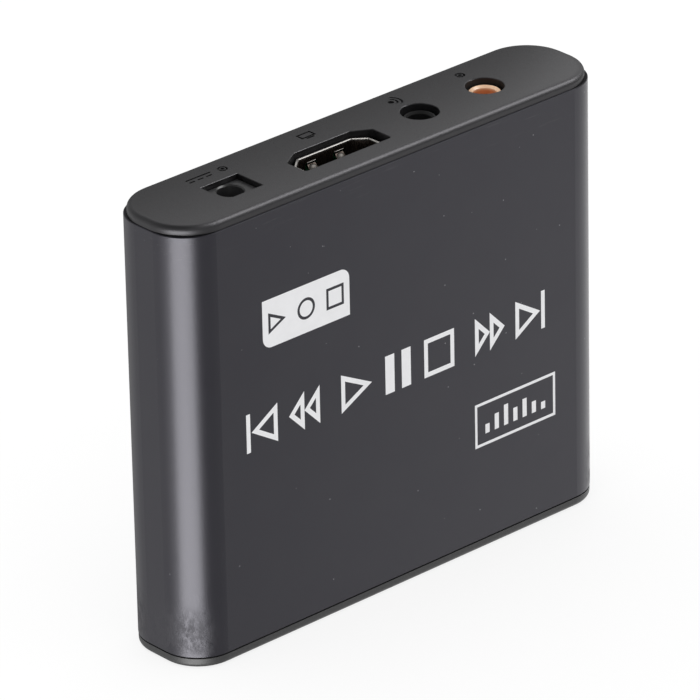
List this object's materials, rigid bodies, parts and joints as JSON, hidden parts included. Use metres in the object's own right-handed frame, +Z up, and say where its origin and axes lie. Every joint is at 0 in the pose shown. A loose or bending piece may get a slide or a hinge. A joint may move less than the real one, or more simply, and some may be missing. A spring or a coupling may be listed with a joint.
{
  "type": "media player",
  "caption": "Small box-shaped media player: a round-cornered metal sleeve closed by two plastic end caps, with power, video and round jacks at one end, a data port and card slot at the other.",
  "frame": {"origin": "middle of the foot, at the underside of the foot end cap", "axes": "+X along the width, +Y from the printed front to the back, +Z up to the sockets"},
  "size_m": [0.083, 0.0166, 0.0705],
  "materials": {
    "sleeve_paint": "extrusion, satin dark grey paint outside",
    "cap_plastic": "fine-grained dark grey moulding",
    "shell_steel": "plated sheet",
    "contact_metal": "gold flash",
    "black_plastic": "moulded black",
    "orange_plastic": "moulded orange",
    "board_green": "solder mask",
    "chip_black": "moulded epoxy",
    "pad_grey": "soft heat pad",
    "sink_aluminium": "extruded, black oxide free",
    "can_aluminium": "bright can",
    "spring_steel": "drawn wire",
    "slider_plastic": "natural moulding",
    "ceramic_part": "fired body with tinned ends",
    "window_red": "dark red pane",
    "clear_plastic": "clear rod"
  },
  "bodies": {
    "base": {"foot_end_cap": "cap_plastic", "video_socket_shell": "shell_steel", "video_socket_insulator": "black_plastic", "video_socket_contacts": "contact_metal", "power_jack_body": "cap_plastic", "power_jack_pin": "shell_steel", "power_jack_terminals": "shell_steel", "remote_jack_body": "black_plastic", "remote_jack_terminals": "shell_steel", "av_jack_body": "orange_plastic", "av_jack_terminals": "shell_steel", "data_port_shell": "shell_steel", "data_port_insulator": "black_plastic", "data_port_contacts": "contact_metal", "card_socket_base": "black_plastic", "card_socket_cover": "shell_steel", "card_socket_contacts": "contact_metal", "card_spring": "spring_steel", "infrared_eye": "black_plastic", "infrared_window": "window_red", "status_light": "clear_plastic", "status_light_pipe": "clear_plastic", "processor_chip": "chip_black", "heat_pad": "pad_grey", "heat_sink": "sink_aluminium", "memory_chip": "chip_black", "flash_chip": "chip_black", "regulator_chips": "chip_black", "crystal_can": "can_aluminium", "electrolytic_capacitors": "can_aluminium", "power_inductors": "chip_black", "chip_parts": "ceramic_part", "main_board": "board_green"},
    "sleeve": {"case_sleeve": "sleeve_paint"},
    "socket_cap": {"socket_end_cap": "cap_plastic", "socket_cap_collar": "cap_plastic"},
    "card_slider": {"card_slider": "slider_plastic"},
    "cam_link": {"card_cam_link": "spring_steel"},
    "power_leaf": {"power_jack_leaf": "shell_steel"},
    "remote_tip_leaf": {"remote_jack_tip_leaf": "shell_steel"},
    "remote_ring_leaf": {"remote_jack_ring_leaf": "shell_steel"},
    "remote_sleeve_leaf": {"remote_jack_sleeve_leaf": "shell_steel"},
    "av_tip_leaf": {"av_jack_tip_leaf": "shell_steel"},
    "av_ring_leaf": {"av_jack_ring_leaf": "shell_steel"},
    "av_sleeve_leaf": {"av_jack_sleeve_leaf": "shell_steel"}
  },
  "joints": [
    {"name": "sleeve_lift", "type": "slide", "parent": "base", "child": "sleeve", "axis": [0, 0, 1], "range_m": [0, 0.072]},
    {"name": "socket_cap_lift", "type": "slide", "parent": "sleeve", "child": "socket_cap", "axis": [0, 0, 1], "range_m": [0, 0.02]},
    {"name": "card_slider_slide", "type": "slide", "parent": "base", "child": "card_slider", "axis": [0, 0, 1], "range_m": [0, 0.0033], "stiffness_N_per_m": 250, "deforming": ["card_spring"]},
    {"name": "cam_link_swing", "type": "hinge", "parent": "base", "child": "cam_link", "pos_m": [-0.003, -0.00077, 0.00475], "axis": [0, -1, 0], "range_deg": [0, 7.49]},
    {"name": "power_leaf_press", "type": "hinge", "parent": "base", "child": "power_leaf", "pos_m": [-0.0253, -0.0027, 0.0616], "axis": [1, 0, 0], "range_deg": [0, 3.2], "stiffness_Nm_per_rad": 0.06},
    {"name": "remote_tip_leaf_press", "type": "hinge", "parent": "base", "child": "remote_tip_leaf", "pos_m": [0.0088, -0.0006, 0.065], "axis": [0, 1, 0], "range_deg": [0, 3.2], "stiffness_Nm_per_rad": 0.06},
    {"name": "remote_ring_leaf_press", "type": "hinge", "parent": "base", "child": "remote_ring_leaf", "pos_m": [0.0138, -0.0006, 0.0564], "axis": [0, 1, 0], "range_deg": [0, 3.2], "stiffness_Nm_per_rad": 0.06},
    {"name": "remote_sleeve_leaf_press", "type": "hinge", "parent": "base", "child": "remote_sleeve_leaf", "pos_m": [0.0113, -0.00265, 0.0578], "axis": [1, 0, 0], "range_deg": [0, 3.2], "stiffness_Nm_per_rad": 0.06},
    {"name": "av_tip_leaf_press", "type": "hinge", "parent": "base", "child": "av_tip_leaf", "pos_m": [0.0218, -0.0006, 0.065], "axis": [0, 1, 0], "range_deg": [0, 3.2], "stiffness_Nm_per_rad": 0.06},
    {"name": "av_ring_leaf_press", "type": "hinge", "parent": "base", "child": "av_ring_leaf", "pos_m": [0.0268, -0.0006, 0.0564], "axis": [0, 1, 0], "range_deg": [0, 3.2], "stiffness_Nm_per_rad": 0.06},
    {"name": "av_sleeve_leaf_press", "type": "hinge", "parent": "base", "child": "av_sleeve_leaf", "pos_m": [0.0243, -0.00265, 0.0578], "axis": [1, 0, 0], "range_deg": [0, 3.2], "stiffness_Nm_per_rad": 0.06}
  ],
  "couplings": [
    {"joint": "cam_link_swing", "follows": "card_slider_slide", "rad_per_m": 39.326}
  ]
}
